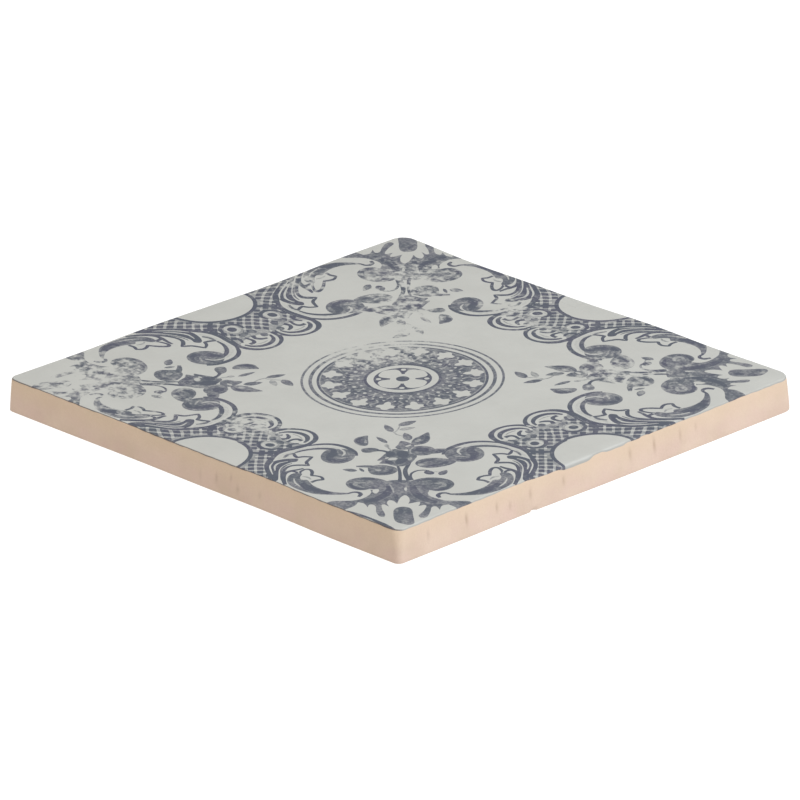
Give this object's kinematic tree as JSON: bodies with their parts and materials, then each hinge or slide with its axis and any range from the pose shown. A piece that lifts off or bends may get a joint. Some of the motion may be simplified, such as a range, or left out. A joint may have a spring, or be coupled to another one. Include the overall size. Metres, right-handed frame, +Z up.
{
  "type": "glazed ceramic tile",
  "caption": "Square glazed wall tile of pressed pale clay, with a softly rounded, slightly wavy glazed edge and a keyed back for bedding mortar.",
  "frame": {"origin": "centre of the underside", "axes": "+Z up, normal to the glazed face; X and Y along the sides, the side towards +X leans in most"},
  "size_m": [0.1319, 0.133, 0.008],
  "materials": {
    "glaze": "satin pale grey glaze with a worn blue-grey printed scroll and spray ornament",
    "biscuit": "bare matt pinkish-buff fired clay on the sides and back"
  },
  "bodies": {
    "root": {"glazed_tile": "glaze"}
  },
  "joints": []
}
